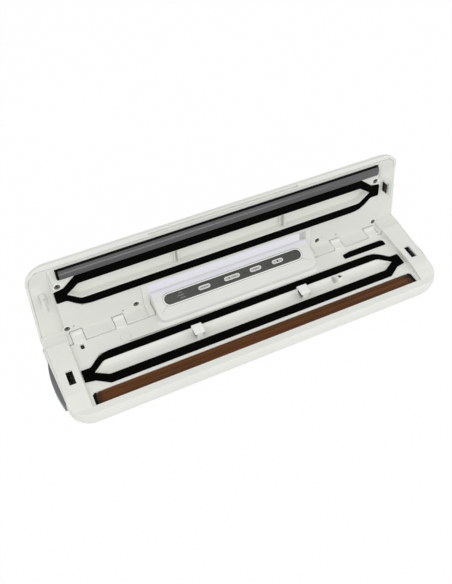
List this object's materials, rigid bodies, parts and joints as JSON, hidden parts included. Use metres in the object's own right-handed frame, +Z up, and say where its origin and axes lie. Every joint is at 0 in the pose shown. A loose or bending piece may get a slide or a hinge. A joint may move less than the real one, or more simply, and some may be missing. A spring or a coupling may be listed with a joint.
{
  "type": "vacuum sealer",
  "caption": "Slim household vacuum sealer: hinged lid with gasket and sealing bar over a base with vacuum trough, heating strip, sloped key panel, end latches.",
  "frame": {"origin": "centre of the underside, on the plane of the rubber feet", "axes": "+X along the body to its right end, -Y to the front where the lid opens, +Z up; the lid is stored open as pictured"},
  "size_m": [0.3686, 0.1072, 0.1133],
  "materials": {
    "housing": "white satin ABS",
    "inner_plate": "white fine-matte ABS",
    "black_rubber": "soft black foam rubber",
    "screw_steel": "plain",
    "overlay": "dark grey film",
    "key_plastic": "light grey-white",
    "lens": "clear-grey",
    "board": "green board",
    "hose": "silicone",
    "pump_plastic": "moulded",
    "motor_steel": "zinc plated",
    "heater_base": "heat-proof board",
    "element": "resistance ribbon",
    "tape": "brown glass-cloth tape",
    "terminal_brass": "plain",
    "transformer_iron": "laminated",
    "black_plastic": "moulded",
    "button_plastic": "silver-grey satin",
    "bar_rubber": "dark grey silicone"
  },
  "bodies": {
    "base": {"bottom_case": "housing", "base_deck": "housing", "rubber_feet": "black_rubber", "case_screws": "screw_steel", "panel_housing": "housing", "panel_overlay": "overlay", "indicator_lenses": "lens", "panel_circuit_board": "board", "lower_gasket": "black_rubber", "bag_clips": "housing", "air_port": "housing", "vacuum_hose": "hose", "vacuum_pump": "pump_plastic", "pump_motor": "motor_steel", "heater_bar": "heater_base", "heating_element": "element", "heater_tape": "tape", "heater_terminals": "terminal_brass", "main_circuit_board": "board", "transformer": "transformer_iron", "power_inlet": "black_plastic", "lid_switch": "black_plastic", "deck_rubber_strip": "black_rubber", "left_latch_spring": "screw_steel", "right_latch_spring": "screw_steel", "hinge_pins": "screw_steel"},
    "lid": {"lid_cover": "housing", "lid_plate": "inner_plate", "window_frame": "inner_plate", "lid_gasket": "black_rubber", "sealing_bar": "bar_rubber", "lid_screws": "screw_steel", "left_lid_hook": "inner_plate", "right_lid_hook": "inner_plate"},
    "left_button": {"left_release_button": "button_plastic"},
    "right_button": {"right_release_button": "button_plastic"},
    "mode": {"mode_key": "key_plastic"},
    "vacuum_seal": {"vacuum_seal_key": "key_plastic"},
    "seal": {"seal_key": "key_plastic"},
    "stop": {"stop_key": "key_plastic"}
  },
  "joints": [
    {"name": "lid_hinge", "type": "hinge", "parent": "base", "child": "lid", "pos_m": [0, 0.03725, 0.0335], "axis": [1, 0, 0], "range_deg": [0, 98]},
    {"name": "left_release", "type": "slide", "parent": "base", "child": "left_button", "axis": [1, 0, 0], "range_m": [0, 0.0022], "stiffness_N_per_m": 600, "springref_m": -0.002, "deforming": ["left_latch_spring"]},
    {"name": "right_release", "type": "slide", "parent": "base", "child": "right_button", "axis": [-1, 0, 0], "range_m": [0, 0.0022], "stiffness_N_per_m": 600, "springref_m": -0.002, "deforming": ["right_latch_spring"]},
    {"name": "mode_press", "type": "slide", "parent": "base", "child": "mode", "axis": [0, 0.4305, -0.9026], "range_m": [0, 0.0005], "stiffness_N_per_m": 800, "springref_m": -0.0005},
    {"name": "vacuum_seal_press", "type": "slide", "parent": "base", "child": "vacuum_seal", "axis": [0, 0.4305, -0.9026], "range_m": [0, 0.0005], "stiffness_N_per_m": 800, "springref_m": -0.0005},
    {"name": "seal_press", "type": "slide", "parent": "base", "child": "seal", "axis": [0, 0.4305, -0.9026], "range_m": [0, 0.0005], "stiffness_N_per_m": 800, "springref_m": -0.0005},
    {"name": "stop_press", "type": "slide", "parent": "base", "child": "stop", "axis": [0, 0.4305, -0.9026], "range_m": [0, 0.0005], "stiffness_N_per_m": 800, "springref_m": -0.0005}
  ]
}
